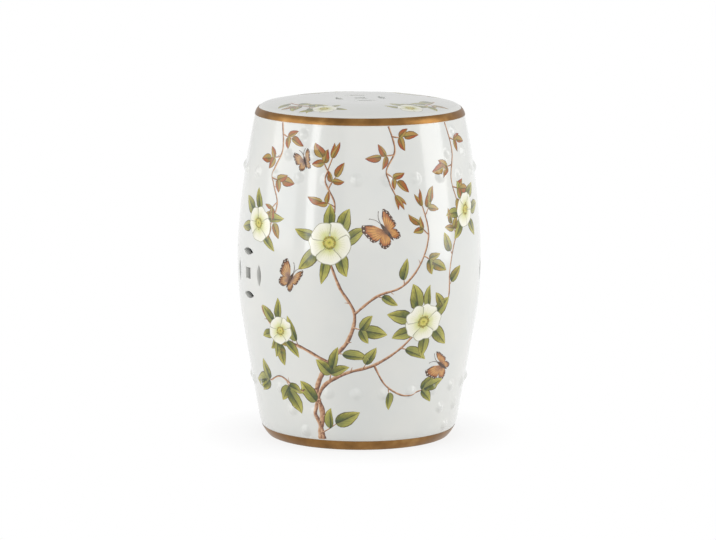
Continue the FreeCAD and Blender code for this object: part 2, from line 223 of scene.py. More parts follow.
def fired_gilt():
    """Bright gold lustre brushed on the glaze and fired: bronze-gold metal with the faint streaks
    of the banding wheel and a softer, browner burnish where the film is thin."""
    material, shader, add, place = new_material("fired_gilt")
    wheel = (cells(83.33), cells(83.33), cells(1.111))  # a streak is long and 1.1 mm high
    streaks = add("Mapping", {"Vector": place, "Scale": wheel})
    brushed = add("TexNoise", {"Vector": streaks, "Scale": 1.0, "Detail": 3.0})
    patches = add("TexNoise", {"Vector": place, "Scale": cells(22.22), "Detail": 3.0})
    golds = [(0.3, "#7B5932"), (0.55, "#926B3D"), (0.75, "#A57F4E")]
    gold = add("ValToRGB", [patches], stops=golds)
    dull = add("MapRange", {"Value": patches, "To Min": 0.26, "To Max": 0.42})
    bump = add("Bump", {"Strength": 0.2, "Distance": 0.1 * MM, "Height": brushed})
    fill(shader, {"Base Color": gold, "Metallic": 1.0, "Roughness": dull, "Normal": bump})
    return material


def draw_over(add, colour, *strokes):
    """Draw strokes over a colour, each a mask, its strength and its hex colour."""
    for mask, strength, code in strokes:
        share = add("Math", [mask, strength], operation="MULTIPLY")
        colour = add("Mix", {0: share, 6: colour, 7: srgb(code)}, 2, data_type="RGBA")
    return colour


def unglazed_biscuit():
    """The wiped foot: bare fired clay, matt and cream, with fine grog and a few iron specks."""
    material, shader, add, place = new_material("unglazed_biscuit")
    grog = add("TexNoise", {"Vector": place, "Scale": cells(1.111), "Detail": 2.0})
    clay = add("ValToRGB", [grog], stops=[(0.35, "#CFC4B0"), (0.65, "#E0D8C8")])
    spread = add("TexVoronoi", {"Vector": place, "Scale": cells(3.846)})
    specks = add("Math", [spread, 0.12], operation="LESS_THAN")
    speckled = draw_over(add, clay, (specks, 1.0, "#8A6A4E"))
    bump = add("Bump", {"Strength": 0.5, "Distance": 0.2 * MM, "Height": grog})
    fill(shader, {"Base Color": speckled, "Roughness": 0.85, "Normal": bump})
    return material


def enamel(name, colours):
    """Enamel painted on the glaze. It is fired into the glaze and shines as it does."""
    material, shader, add, place = new_material(name)
    fill(shader, {"Base Color": colours(add, place), "Roughness": 0.2, "IOR": 1.5,
                  "Coat Weight": 0.35, "Coat Roughness": 0.06, "Coat IOR": 1.5})
    return material


def across_mark(add):
    """The painter's coordinates of a brush mark: along it from 0 to 1, and across it from -1 to 1."""
    along = add("SeparateXYZ", [add("UVMap", uv_map="UVMap")])
    side = add("Math", [along.node.outputs[1], 2.0, -1.0], operation="MULTIPLY_ADD")
    return along, side


def mark_tone(add):
    """The tone that a whole mark was given, from 0 to 1."""
    return add("SeparateColor", [add("Attribute", attribute_name="tint")])


def washed(add, place, size, detail, strength, value):
    """A value made uneven as a wash of enamel is, in patches this many millimetres wide."""
    wash = add("TexNoise", {"Vector": place, "Scale": cells(size), "Detail": detail})
    uneven = add("Math", [wash, 0.5], operation="SUBTRACT")
    return add("Math", [uneven, strength, value], operation="MULTIPLY_ADD")


def striped(add, value, count):
    """Where a value lies in its stripe, from 0 to 1, with so many stripes to every 1."""
    scaled = add("Math", [value, count], operation="MULTIPLY")
    return add("Math", [scaled], operation="FRACT")


def leaf_colours(add, place):
    """Leaves in yellow-green enamel, shaded dark along the midrib and to the stalk, veined and
    outlined with a fine brush, and rusting at the tips of the upper ones."""
    along, side = across_mark(add)
    off = add("Math", [side], operation="ABSOLUTE")
    wider = add("Math", [off, 0.3, along], operation="MULTIPLY_ADD")
    shade = washed(add, place, 6.25, 3.0, 0.5, wider)
    greens = [(0.12, "#1F2C18"), (0.38, "#465524"), (0.66, "#8A8832"), (1.0, "#CBC05E")]
    rusts = [(0.05, "#5E3A1C"), (0.35, "#94702C"), (0.7, "#B05A26"), (1.0, "#92381E")]
    green = add("ValToRGB", [shade], stops=greens)
    rusty = add("ValToRGB", [shade], stops=rusts)
    turned = washed(add, place, 6.25, 3.0, 0.8, mark_tone(add))
    rust = add("MapRange", {"Value": turned, "From Min": 0.25, "From Max": 0.75})
    colour = add("Mix", {0: rust, 6: green, 7: rusty}, 2, data_type="RGBA")
    lit = add("Math", [side, 0.0], operation="GREATER_THAN")
    climb = add("Math", [off, -0.42, along], operation="MULTIPLY_ADD")
    ribs = add("Math", [striped(add, climb, 7.0), 0.16], operation="LESS_THAN")
    midrib = add("Math", [off, 0.09], operation="LESS_THAN")
    edge = add("Math", [off, 0.86], operation="GREATER_THAN")
    colour = draw_over(add, colour, (lit, 0.34, "#CFCB6A"), (ribs, 0.4, "#34481F"))
    return draw_over(add, colour, (midrib, 0.75, "#3C3A1C"), (edge, 0.8, "#43381B"))


def petal_colours(add, place):
    """Rose petals in cream white, yellow-green at the heart, drawn round with a grey-green line."""
    along, side = across_mark(add)
    off = add("Math", [side], operation="ABSOLUTE")
    shade = washed(add, place, 8.333, 3.0, 0.3, along)
    creams = [(0.12, "#B9BD58"), (0.34, "#DDDF9C"), (0.6, "#F3F1D6"), (0.9, "#F8F6E8")]
    cream = add("ValToRGB", [shade], stops=creams)
    fold = add("MapRange", {"Value": side, "From Min": -0.45, "From Max": -1.0})
    thin = add("Math", [striped(add, side, 4.5), 0.1], operation="LESS_THAN")
    inner = add("Math", [along, 0.72], operation="LESS_THAN")
    lines = add("Math", [thin, inner], operation="MULTIPLY")
    sides = add("Math", [off, 0.93], operation="GREATER_THAN")
    end = add("Math", [along, 0.965], operation="GREATER_THAN")
    rim = add("Math", [sides, end], operation="MAXIMUM")
    return draw_over(add, cream, (fold, 0.5, "#C3C58E"), (lines, 0.35, "#A9A878"), (rim, 0.7, "#84835E"))


def bark_colours(add, place):
    """Stems in a brown and flesh-coloured wash, lit along one side, with darker dry strokes."""
    side = across_mark(add)[1]
    lit = add("Math", [side, 0.42, 0.5], operation="MULTIPLY_ADD")
    shade = washed(add, place, 3.846, 4.0, 1.1, lit)
    browns = [(0.05, "#513528"), (0.33, "#8A5D44"), (0.6, "#BE8D68"), (0.9, "#DDB895")]
    return add("ValToRGB", [shade], stops=browns)


def heart_colours(add, place):
    """The rose's heart: an olive disc with a paler eye."""
    along = across_mark(add)[0]
    shade = washed(add, place, 1.4286, 2.0, 0.7, along)
    olives = [(0.0, "#6E6A24"), (0.22, "#C9C04E"), (0.55, "#D9CF6C"), (0.85, "#76762E"), (1.0, "#A9A852")]
    return add("ValToRGB", [shade], stops=olives)


def stamen_colours(add, place):
    """Raised dots of yellow and rust enamel."""
    wash = add("TexNoise", {"Vector": place, "Scale": cells(2.0), "Detail": 1.0})
    yellows = [(0.4, "#9A6A1E"), (0.55, "#D9B948"), (0.7, "#EAD989")]
    return add("ValToRGB", [wash], stops=yellows)


def wing_colours(add, place):
    """Butterfly wings in tawny orange, veined and edged in umber with pale spots in the border."""
    along, side = across_mark(add)
    shade = washed(add, place, 5.556, 3.0, 0.5, along)
    tawnies = [(0.0, "#6B4320"), (0.25, "#C07A2A"), (0.55, "#E0A04A"), (0.8, "#B5652A")]
    slates = [(0.0, "#5A5A60"), (0.3, "#8E9096"), (0.6, "#C7B08A"), (0.85, "#7A5A3C")]
    tawny = add("ValToRGB", [shade], stops=tawnies)
    slate = add("ValToRGB", [shade], stops=slates)
    colour = add("Mix", {0: mark_tone(add), 6: tawny, 7: slate}, 2, data_type="RGBA")
    fan = striped(add, side, 3.5)
    veins = add("Math", [fan, 0.16], operation="LESS_THAN")
    frayed = washed(add, place, 5.556, 3.0, 0.2, along)
    border = add("Math", [frayed, 0.84], operation="GREATER_THAN")
    past = add("Math", [fan, 0.42], operation="GREATER_THAN")
    short = add("Math", [fan, 0.72], operation="LESS_THAN")
    beside = add("Math", [past, short], operation="MULTIPLY")
    ring = add("Math", [along, 0.92, 0.025], operation="COMPARE")
    spots = add("Math", [beside, ring], operation="MULTIPLY")
    return draw_over(add, colour, (veins, 0.7, "#4A2C1A"), (border, 0.9, "#3E2A20"), (spots, 1.0, "#EDE3CC"))


def outline_colours(add, place):
    """Umber line work: the butterflies' bodies and feelers."""
    wash = add("TexNoise", {"Vector": place, "Scale": cells(3.333), "Detail": 2.0})
    return add("ValToRGB", [wash], stops=[(0.35, "#2E211A"), (0.7, "#6A4A32")])


def deselect_all():
    if bpy.context.mode != "OBJECT":
        bpy.ops.object.mode_set(mode="OBJECT")
    bpy.ops.object.select_all(action="DESELECT")


def select_only(*objects):
    deselect_all()
    for item in objects:
        item.select_set(True)
    bpy.context.view_layer.objects.active = objects[0]


def open_whole():
    """Into edit mode with everything selected."""
    bpy.ops.object.mode_set(mode="EDIT")
    bpy.ops.mesh.select_all(action="SELECT")


def close_outward():
    """Turn every face outwards and leave edit mode."""
    bpy.ops.mesh.select_all(action="SELECT")
    bpy.ops.mesh.normals_make_consistent(inside=False)
    bpy.ops.object.mode_set(mode="OBJECT")


def turn_on_wheel(name, rings):
    """Turn a closed ring of clay: a circle round the axis is extruded from one (radius, height) of
    its outline to the next, and the last is bridged to the first."""
    deselect_all()
    radius, height = rings[0]
    bpy.ops.mesh.primitive_circle_add(vertices=TURN_STEPS, radius=radius * MM, location=(0, 0, height * MM))
    piece = bpy.context.object
    piece.name = name
    bpy.ops.object.transform_apply(location=True)
    open_whole()
    for next_radius, next_height in rings[1:]:
        rise = (next_height - height) * MM
        bpy.ops.mesh.extrude_region_move(TRANSFORM_OT_translate={"value": (0, 0, rise)})
        grow = next_radius / radius
        bpy.ops.transform.resize(value=(grow, grow, 1), center_override=(0, 0, 0))
        radius, height = next_radius, next_height
    bpy.ops.mesh.select_all(action="DESELECT")
    bpy.ops.mesh.select_non_manifold()
    bpy.ops.mesh.bridge_edge_loops()
    close_outward()
    return piece


def finish_piece(piece, material, slot, *nodes, angle=35):
    """Smooth a piece, give it its finish, and let it ride and stand for its CAD nodes."""
    piece.data.materials.clear()
    piece.data.materials.append(material)
    select_only(piece)
    bpy.ops.object.shade_smooth_by_angle(angle=radians(angle))
    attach(piece, "root")
    if nodes:
        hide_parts(*nodes)


def joined(objects):
    """Join objects into one, and give it back."""
    select_only(*objects)
    bpy.ops.object.join()
    return bpy.context.object


def modify(piece, kind, **settings):
    """Add a modifier with its settings, and apply it."""
    select_only(piece)
    bpy.ops.object.modifier_add(type=kind)
    modifier = piece.modifiers[-1]
    for key, value in settings.items():
        setattr(modifier, key, value)
    bpy.ops.object.modifier_apply(modifier=modifier.name)


def pierce(piece, cutters):
    """Cut the holes with one boolean and clear the cutters away."""
    cutter = joined(cutters)
    modify(piece, "BOOLEAN", object=cutter, solver="EXACT")
    bpy.data.objects.remove(cutter)


def add_object(name, data):
    item = bpy.data.objects.new(name, data)
    bpy.context.collection.objects.link(item)
    return item


def hole_cutter(kind, x, y, depth):
    """A prism for one hole of a coin, lying in a flat plan: a petal or the coin's square."""
    deselect_all()
    bpy.ops.mesh.primitive_circle_add(vertices=4 if kind == "square" else HOLE_STEPS, radius=1.0)
    cutter = bpy.context.object
    sink = PETAL_ARC - PETAL_WIDTH / 2
    for vertex in cutter.data.vertices:
        turn = atan2(vertex.co.y, vertex.co.x)
        if kind == "square":
            corner = turn + pi / 4
            offset = [copysign(COIN_SQUARE / 2, side) for side in (cos(corner), sin(corner))]
        else:
            length = PETAL_LENGTH / 2 * cos(turn)
            width = copysign(sqrt(PETAL_ARC**2 - length**2) - sink, sin(turn))
            if abs(sin(turn)) < 1e-6:
                width = 0.0
            offset = (length, width) if kind == "lying" else (-width, length)
        vertex.co = ((x + offset[0]) * MM, (y + offset[1]) * MM, 0)
    open_whole()
    bpy.ops.mesh.edge_face_add()
    bpy.ops.mesh.extrude_region_move(TRANSFORM_OT_translate={"value": (0, 0, depth * MM)})
    close_outward()
    return cutter


def soften_holes(piece, near):
    """Round the holes' edges as the glaze does: the sharp edges that near() picks are bevelled."""
    select_only(piece)
    open_whole()
    bpy.ops.mesh.remove_doubles(threshold=WELD * MM)
    bpy.ops.mesh.select_all(action="DESELECT")
    sheet = bmesh.from_edit_mesh(piece.data)
    for edge in sheet.edges:
        if len(edge.link_faces) == 2 and edge.calc_face_angle() > SHARP_EDGE and near(edge.verts[0].co):
            edge.select_set(True)
    bmesh.update_edit_mesh(piece.data)
    bpy.ops.mesh.bevel(offset=HOLE_EDGE * MM, segments=2, clamp_overlap=True)
    bpy.ops.object.mode_set(mode="OBJECT")


def side_coins():
    """The cutters for two linked coins on each side of the drum, which share a standing petal."""
    cutters = []
    for side in (0, pi):
        for turn, holes in (
            (-COIN_TURN, (*COIN[:3], COIN[4])),
            (COIN_TURN, COIN[:4]),
            (0.0, [("standing", 0, 0)]),
        ):
            plan_to_side = ((0, 0, 1, SIDE_CUT[0] * MM), (1, 0, 0, 0), (0, 1, 0, COIN_Z * MM), (0, 0, 0, 1))
            face_out = Matrix.Rotation(side + turn, 4, "Z") @ Matrix(plan_to_side)
            for kind, x, y in holes:
                cutter = hole_cutter(kind, x, y, SIDE_CUT[1] - SIDE_CUT[0])
                cutter.data.transform(face_out)
                cutters.append(cutter)
    return cutters


def glazed_drum(material):
    """The drum, its outside drawn finely, its inside more plainly."""
    outside = along_arc(TUCK_C, TUCK, asin((FOOT_JOINT - TUCK_C[1]) / TUCK), -FOOT_LEAN, 8)
    out, up = BELLY_LOW[0] - TUCK_R, BELLY_LOW[1] - TUCK_Z
    outside += [(TUCK_R + out * step / 30, TUCK_Z + up * step / 30) for step in range(1, 30)]
    outside += along_arc((BELLY_C, BELLY_Z), BELLY_ARC, -FOOT_LEAN, BELLY_TURN, 28)
    outside += along_arc(SWEEP_C, SWEEP, BELLY_TURN, RIM_LEAN, 38)[1:]
    inside = along_arc(SWEEP_C, SWEEP - WALL, RIM_LEAN, BELLY_TURN, 12)
    inside += along_arc((BELLY_C, BELLY_Z), BELLY_ARC - WALL, BELLY_TURN, -FOOT_LEAN, 12)[1:]
    joint = asin((FOOT_JOINT - TUCK_C[1]) / (TUCK - WALL))
    inside += along_arc(TUCK_C, TUCK - WALL, -FOOT_LEAN, joint, 6)
    drum = turn_on_wheel("glazed_drum", outside + inside)
    pierce(drum, side_coins())
    soften_holes(drum, lambda spot: abs(spot.z - COIN_Z * MM) < COIN_SPAN * MM)
    finish_piece(drum, material, "glazed_porcelain", "barrel_wall")


def glazed_seat(material):
    """The seat: the rounded edge, the brow and the flat crown above, and a hollow below."""
    edge = along_arc(SHOULDER_C, SHOULDER, RIM_LEAN, pi / 2 - BROW_DROP, 12)
    brow = []
    for step in range(1, 17):
        reach = BROW_END + (CROWN_R - BROW_END) * step / 16
        brow.append((reach, seat_height(reach)))
    crown = [(reach, STOOL_HEIGHT) for reach in (48, 40, 32, 24, 16, 8, 2)]
    under = [(2, STOOL_HEIGHT - SEAT_THICKNESS), (CROWN_R, STOOL_HEIGHT - SEAT_THICKNESS),
             (BROW_END - 3, seat_height(BROW_END) - SEAT_THICKNESS), (RIM_R - WALL, RIM_Z)]
    seat = turn_on_wheel("glazed_seat", edge + brow + crown + under)
    cutters = [hole_cutter(kind, x, y, 2 * SEAT_CUT) for kind, x, y in COIN]
    for cutter in cutters:
        cutter.data.transform(Matrix.Translation((0, 0, (STOOL_HEIGHT - SEAT_CUT) * MM)))
    pierce(seat, cutters)
    soften_holes(seat, lambda spot: hypot(spot.x, spot.y) < COIN_SPAN * MM)
    finish_piece(seat, material, "glazed_porcelain", "seat_disc")


def stud_rise(distance):
    """Height of a stud's soft dome over the wall at a distance from its middle."""
    if distance >= STUD_SKIRT:
        return 0.0
    return STUD_HEIGHT * (1 - (distance / STUD_SKIRT) ** 2) ** 2


def relief(turn, z):
    """Height over the plain wall of whatever stud stands at this angle and height."""
    for row_z, angles in STUD_ROWS.values():
        if abs(z - row_z) < STUD_SKIRT:
            radius = drum_outline(row_z)[0]
            quarter = degrees(turn) % 90
            nearest = min(angles + [angles[0] + 90], key=lambda angle: abs(quarter - angle))
            distance = hypot(radius * radians(quarter - nearest), z - row_z)
            return stud_rise(distance)
    return 0.0


def on_wall(turn, z, lift):
    """The point at an angle from the front and a height, lifted off the wall along its normal."""
    radius, lean = drum_outline(z)
    radius += lift * cos(lean)
    return (radius * sin(turn) * MM, -radius * cos(turn) * MM, (z + lift * sin(lean)) * MM)


def on_seat(x, y, lift):
    return (x * MM, y * MM, (seat_height(hypot(x, y)) + lift) * MM)


def glazed_studs(name, material):
    """One row of studs: a dome drawn ring by ring from a circle, then copied round the wall."""
    row_z, angles = STUD_ROWS[name]
    deselect_all()
    bpy.ops.mesh.primitive_circle_add(vertices=28, radius=STUD_SKIRT)
    blank = bpy.context.object
    open_whole()
    reach = STUD_SKIRT
    for share in (0.93, 0.84, 0.73, 0.6, 0.45, 0.3, 0.15):
        bpy.ops.mesh.extrude_region_move()
        shrink = STUD_SKIRT * share / reach
        bpy.ops.transform.resize(value=(shrink, shrink, 1), center_override=(0, 0, 0))
        reach *= shrink
    bpy.ops.mesh.edge_face_add()
    bpy.ops.mesh.poke()
    close_outward()
    radius = drum_outline(row_z)[0]
    studs = []
    for quarter in range(4):
        for angle in angles:
            middle = radians(angle + 90 * quarter)
            mesh = blank.data.copy()
            for vertex in mesh.vertices:
                x, y = vertex.co.x, vertex.co.y
                vertex.co = on_wall(middle + x / radius, row_z + y, stud_rise(hypot(x, y)) + STUD_GAP)
            studs.append(add_object(name, mesh))
    bpy.data.objects.remove(blank)
    row = joined(studs)
    row.name = "glazed_" + name
    face = row.data.polygons[0]
    if face.normal.dot((face.center.x, face.center.y, 0)) < 0:
        row.data.flip_normals()
    modify(row, "SOLIDIFY", thickness=STUD_SHELL * MM, offset=-1)
    finish_piece(row, material, "glazed_studs", name, angle=60)


def gilt_bands(material):
    """Both bands: a film of gold on the glaze of the seat's rounded edge and of the tuck."""
    low, high = (asin((z - TUCK_C[1]) / TUCK) for z in FOOT_BAND)
    for name, centre, under, start, stop, steps in (
        ("seat_band", SHOULDER_C, SHOULDER + GLAZE, RIM_LEAN, SEAT_BAND_LEAN, 14),
        ("foot_band", TUCK_C, TUCK + GLAZE, low, high, 12),
    ):
        film = along_arc(centre, under + BAND_FILM, start, stop, steps)
        film += along_arc(centre, under, stop, start, steps)
        finish_piece(turn_on_wheel("gilt_" + name, film), material, "gilt", name)


def biscuit_foot(material):
    """The foot ring: a wiped face on the floor, with its edge rounded, and a flange inside."""
    face_inner = FOOT_R - FOOT_FACE
    flange_inner = face_inner - FOOT_FLANGE
    start = asin((0 - TUCK_C[1]) / TUCK)
    stop = asin((FOOT_JOINT - TUCK_C[1]) / TUCK)
    edge = 0.012  # the face meets the outside in a narrow chamfer, this far up the tuck's arc
    rings = [(face_inner, 0), (face_inner + 3, 0), (FOOT_R - 3, 0), (FOOT_R - 0.8, 0.0)]
    rings += along_arc(TUCK_C, TUCK, start + edge, stop, 8)
    rings += [(flange_inner, FOOT_JOINT), (flange_inner, FOOT_RELIEF)]
    rings += [(face_inner - FOOT_RELIEF / 2, FOOT_RELIEF)]
    finish_piece(turn_on_wheel("biscuit_foot", rings), material, "unglazed_clay", "foot_ring")


porcelain = glazed_porcelain()
glazed_drum(porcelain)
glazed_seat(porcelain)
for stud_row in STUD_ROWS:
    glazed_studs(stud_row, porcelain)
gilt_bands(fired_gilt())
biscuit_foot(unglazed_biscuit())


def blank_grid(along, across):
    """A flat grid with UVs, the blank for brush marks of one fineness."""
    deselect_all()
    bpy.ops.mesh.primitive_grid_add(x_subdivisions=along, y_subdivisions=across, size=2, calc_uvs=True)
    blank = bpy.context.object
    mesh = blank.data
    bpy.data.objects.remove(blank)
    return mesh


class Painting:
    """Brush marks of one kind of enamel, gathered into one piece. A mark is a grid whose vertices
    are laid on the stool: u from 0 to 1 runs along it and v from -1 to 1 across it."""

    def __init__(self, name, material):
        self.name = name
        self.material = material
        self.marks = []
        self.blanks = {}

    def mark(self, sheet, fineness, place, tint=(0, 0, 0)):
        """Lay one mark, unless part of it would lie off the sheet. Says whether it was laid."""
        if fineness not in self.blanks:
            self.blanks[fineness] = blank_grid(*fineness)
        mesh = self.blanks[fineness].copy()
        spots = [place((vertex.co.x + 1) / 2, vertex.co.y) for vertex in mesh.vertices]
        if any(spot is None for spot in spots):
            bpy.data.meshes.remove(mesh)
            return False
        for vertex, spot in zip(mesh.vertices, spots):
            vertex.co = spot
        colours = mesh.color_attributes.new("tint", "FLOAT_COLOR", "POINT")
        for item in colours.data:
            item.color = (*tint, 1)
        face = max(mesh.polygons, key=lambda polygon: polygon.area)
        if face.normal.dot(sheet.outward(face.center)) < 0:
            mesh.flip_normals()
        self.marks.append(mesh)
        return True

    def fire(self):
        """Join the marks into one closed film."""
        names = (f"{self.name}_{number}" for number in range(len(self.marks)))
        piece = joined([add_object(name, mesh) for name, mesh in zip(names, self.marks)])
        piece.name = self.name
        modify(piece, "SOLIDIFY", thickness=PAINT_FILM * MM, offset=-1)
        finish_piece(piece, self.material, "glazed_porcelain", angle=40)


def pierced(turn, z):
    """Whether this spot of the wall lies over a hole of the coins, or too near to one."""
    quarter = (degrees(turn) - 90) % 180
    quarter = quarter - 180 if quarter > 90 else quarter
    across = radians(quarter) * BELLY_R
    up = z - COIN_Z
    step = COIN_TURN * BELLY_R
    petal_end = PETAL_LENGTH / 2 + 2.5
    for middle in (-step, step):
        x = across - middle
        if max(abs(x), abs(up)) < COIN_SQUARE / 2 + HOLE_MARGIN:
            return True
        for kind, dx, dy in COIN[1:]:
            a, b = (x - dx, up - dy) if kind == "lying" else (up - dy, x - dx)
            half_width = PETAL_WIDTH / 2 * (1 - (a / petal_end) ** 2)
            if abs(a) < PETAL_LENGTH / 2 + HOLE_MARGIN and abs(b) < half_width + HOLE_MARGIN:
                return True
    return False


class Wall:
    """The drum's outside as a drawing sheet: across in mm at the belly from the painting's middle,
    and up in mm. Motifs keep their shape where the drum narrows."""

    def __init__(self, middle, mirror):
        self.middle = middle
        self.mirror = mirror

    def outward(self, spot):
        return Vector((spot.x, spot.y, 0))

    def over_stud(self, middle, reach):
        """Whether a mark of this reach crosses a stud and has to be drawn finely."""
        turn = self.middle + self.mirror * middle[0] / BELLY_R
        shifts = [reach * share for share in (-1, -0.5, 0, 0.5, 1)]
        return any(relief(turn + dx / BELLY_R, middle[1] + dy) for dx in shifts for dy in shifts)

    def lay(self, anchor, x, y, lift):
        """The point of the stool at x, y from an anchor, or None where nothing may be painted."""
        up = anchor[1] + y
        if not PAINT_LOW < up < PAINT_HIGH:
            return None
        stretch = BELLY_R / drum_outline(up)[0]
        across = anchor[0] + x * stretch
        turn = self.middle + self.mirror * across / BELLY_R
        if pierced(turn, up):
            return None
        stud = relief(turn, up)
        return on_wall(turn, up, lift + stud + STUD_CLEARANCE * min(1.0, stud / 0.3))


class Seat:
    """The seat's top as a drawing sheet, in plan. It has no studs, and is painted more thinly."""

    def outward(self, spot):
        return Vector((0, 0, 1))

    def over_stud(self, middle, reach):
        return False

    def lay(self, anchor, x, y, lift):
        """The point of the stool at x, y from an anchor, or None where nothing may be painted."""
        spot = (anchor[0] + x, anchor[1] + y)
        if not SEAT_PAINT_IN <= hypot(*spot) <= SEAT_PAINT_OUT:
            return None
        return on_seat(*spot, lift / 2)


def curve_through(points):
    """A smooth line through the points, each a tuple of numbers, as a function of 0 to 1."""
    ends = [points[0], *points, points[-1]]

    def at(t):
        span = min(int(t * (len(points) - 1)), len(points) - 2)
        k = t * (len(points) - 1) - span
        return tuple(
            0.5 * (2 * q + (r - p) * k + (2 * p - 5 * q + 4 * r - s) * k**2 + (3 * q - p - 3 * r + s) * k**3)
            for p, q, r, s in zip(*ends[span : span + 4])
        )

    return at


def way_of(line, share, ahead=0.02, behind=0.0):
    """The way a line runs at a share of its length, in radians up from the right."""
    x, y, _ = line(max(share - behind, 0))
    next_x, next_y, _ = line(min(share + ahead, 1))
    return atan2(next_y - y, next_x - x)


def reach_out(spot, reach, turn):
    """The spot at a distance from another, its direction in radians."""
    return spot[0] + reach * cos(turn), spot[1] + reach * sin(turn)


class Rose:
    """A briar rose painted on one sheet."""

    def __init__(self, sheet, seed, paints):
        self.sheet = sheet
        self.luck = random.Random(seed)
        self.leaves, self.stems, self.petals, self.hearts, self.stamens = paints

    def stem(self, points, lift=0.05):
        """A stem through (across, up, width) points. Gives back its line, or None where a hole is in
        its way."""
        line = curve_through(points)
        length = sum(dist(a[:2], b[:2]) for a, b in zip(points, points[1:]))
        steps = max(4, int(length / STEM_STEP))
        wobble = self.luck.random() * 9

        def place(u, v):
            x, y, width = line(u)
            ahead, behind = line(min(u + 0.01, 1)), line(max(u - 0.01, 0))
            dx, dy = ahead[0] - behind[0], ahead[1] - behind[1]
            size = hypot(dx, dy) or 1
            gnarl = 1 + 0.16 * sin(u * length / 4.1 + wobble) * sin(u * length / 7.3)
            half = width / 2 * gnarl * v
            return self.sheet.lay((x - dy / size * half, y + dx / size * half), 0, 0, lift)

        return line if self.stems.mark(self.sheet, (steps, 2), place) else None

    def leaf(self, anchor, heading, length, rust, lift=0.1, slim=0.6):
        """A leaf from its stalk end, with the heading in degrees up from the right. Says whether
        there was room for it."""
        luck = self.luck
        width = length * slim * luck.uniform(0.88, 1.1)
        bend = luck.uniform(-0.2, 0.2)
        narrow = luck.choice((1.0, 1.0, 0.7, 0.5))
        phase = luck.random() * 6
        flip = luck.choice((-1, 1))
        run, rise = cos(radians(heading)), sin(radians(heading))
        lift += luck.uniform(0, 0.03)

        def place(u, v):
            v *= flip
            u = (1 - cos(pi * u)) / 2
            outline = 2.6 * u**0.52 * (1 - u) ** 0.95
            wavy = 1 + 0.03 * sin(u * 24 + phase)
            half = width / 2 * outline * wavy * (narrow if v < 0 else 1)
            x = length * u
            y = v * half + bend * length * sin(u * 2.4) * u
            return self.sheet.lay(anchor, x * run - y * rise, x * rise + y * run, lift)

        middle = reach_out(anchor, length / 2, radians(heading))
        fineness = (16, 6) if self.sheet.over_stud(middle, length / 2) else (10, 4)
        return self.leaves.mark(self.sheet, fineness, place, (rust, luck.random(), 0))

    def leaflets(self, anchor, heading, length, size, rust):
        """A rose leaf: a thin stalk with a pair of leaflets and one at its end."""
        luck = self.luck
        bend = luck.uniform(-0.3, 0.3)
        stalk = []
        for share in (0, 1 / 3, 2 / 3, 1):
            aim = radians(heading) + bend * share
            stalk.append((*reach_out(anchor, length * share, aim), 2.1 - 0.9 * share))
        line = self.stem(stalk, 0.07)
        if line is None:
            return
        for side in (-1, 1):
            aim = heading + side * luck.uniform(42, 62)
            self.leaf(line(0.6)[:2], aim, size * luck.uniform(0.8, 1.0), rust)
        self.leaf(line(1.0)[:2], heading + degrees(bend), size * 1.15, rust)

    def blossom(self, middle, size, squash, tilt):
        """An open rose of five petals, squashed along its tilt when it is seen from the side."""
        luck = self.luck
        ct, st = cos(radians(tilt)), sin(radians(tilt))

        def seen(r, turn):
            """Where a spot of the flower shows, from its middle."""
            x, y = r * cos(turn), r * sin(turn)
            along, across = x * ct + y * st, (-x * st + y * ct) * squash
            return along * ct - across * st, along * st + across * ct

        start = luck.uniform(0, 72)
        for rank, number in enumerate((0, 2, 4, 1, 3)):
            aim = radians(start + 72 * number + luck.uniform(-5, 5))
            reach = size / 2 * luck.uniform(0.92, 1.06)
            notch = luck.uniform(0.03, 0.1)
            phase = luck.random() * 6

            def petal(u, v):
                spread = radians(44) * (0.55 + 0.45 * min(u * 1.6, 1)) * v
                rim = 1 - notch * exp(-((v / 0.22) ** 2)) - 0.2 * abs(v) ** 3
                rim += 0.03 * sin(v * 7 + phase)
                spot = seen(reach * (0.06 + 0.94 * u * rim), aim + spread)
                return self.sheet.lay(middle, *spot, 0.16 + 0.03 * rank)

            self.petals.mark(self.sheet, (10, 12), petal, (rank / 5, luck.random(), 0))

        def heart(u, v):
            return self.sheet.lay(middle, *seen(size * 0.15 * u, pi * v), 0.36)

        self.hearts.mark(self.sheet, (4, 20), heart)
        for number in range(26):
            x, y = seen(size * (0.085 + 0.1 * luck.random()), radians(number * 137.5))
            spot = (middle[0] + x, middle[1] + y)
            dot = luck.uniform(0.55, 0.85)

            def bead(u, v):
                return self.sheet.lay(spot, *reach_out((0, 0), dot * u, pi * v), 0.4 + 0.25 * (1 - u * u))

            self.stamens.mark(self.sheet, (2, 7), bead)

    def leafy_blossom(self, middle, size, leaves, rust=0.1, squash=1.0, tilt=0.0, fan=(0, 360)):
        """A blossom with leaves behind it."""
        luck = self.luck
        for number in range(leaves):
            aim = fan[0] + (fan[1] - fan[0]) * (number + 0.5) / leaves + luck.uniform(-9, 9)
            anchor = reach_out(middle, size * 0.34, radians(aim))
            self.leaf(anchor, aim + luck.uniform(-22, 22), size * luck.uniform(0.5, 0.66), rust)
        self.blossom(middle, size, squash, tilt)

    def bud(self, line, size, rust):
        """A closed bud at a stem's end: a slim petal between two sepals."""
        heading = degrees(way_of(line, 1.0, 0, 0.04))
        for turn, share, slim, tone in ((16, 1, 0.35, rust), (-16, 1, 0.35, rust), (0, 1.15, 0.3, 0.9)):
            self.leaf(line(1.0)[:2], heading + turn, size * share, tone, 0.12, slim)

    def twig(self, start, end, *widths):
        """A short straight stem, with its widths at the start, the middle and the end."""
        middle = ((start[0] + end[0]) / 2, (start[1] + end[1]) / 2)
        self.stem([(*spot, width) for spot, width in zip((start, middle, end), widths)], 0.06)

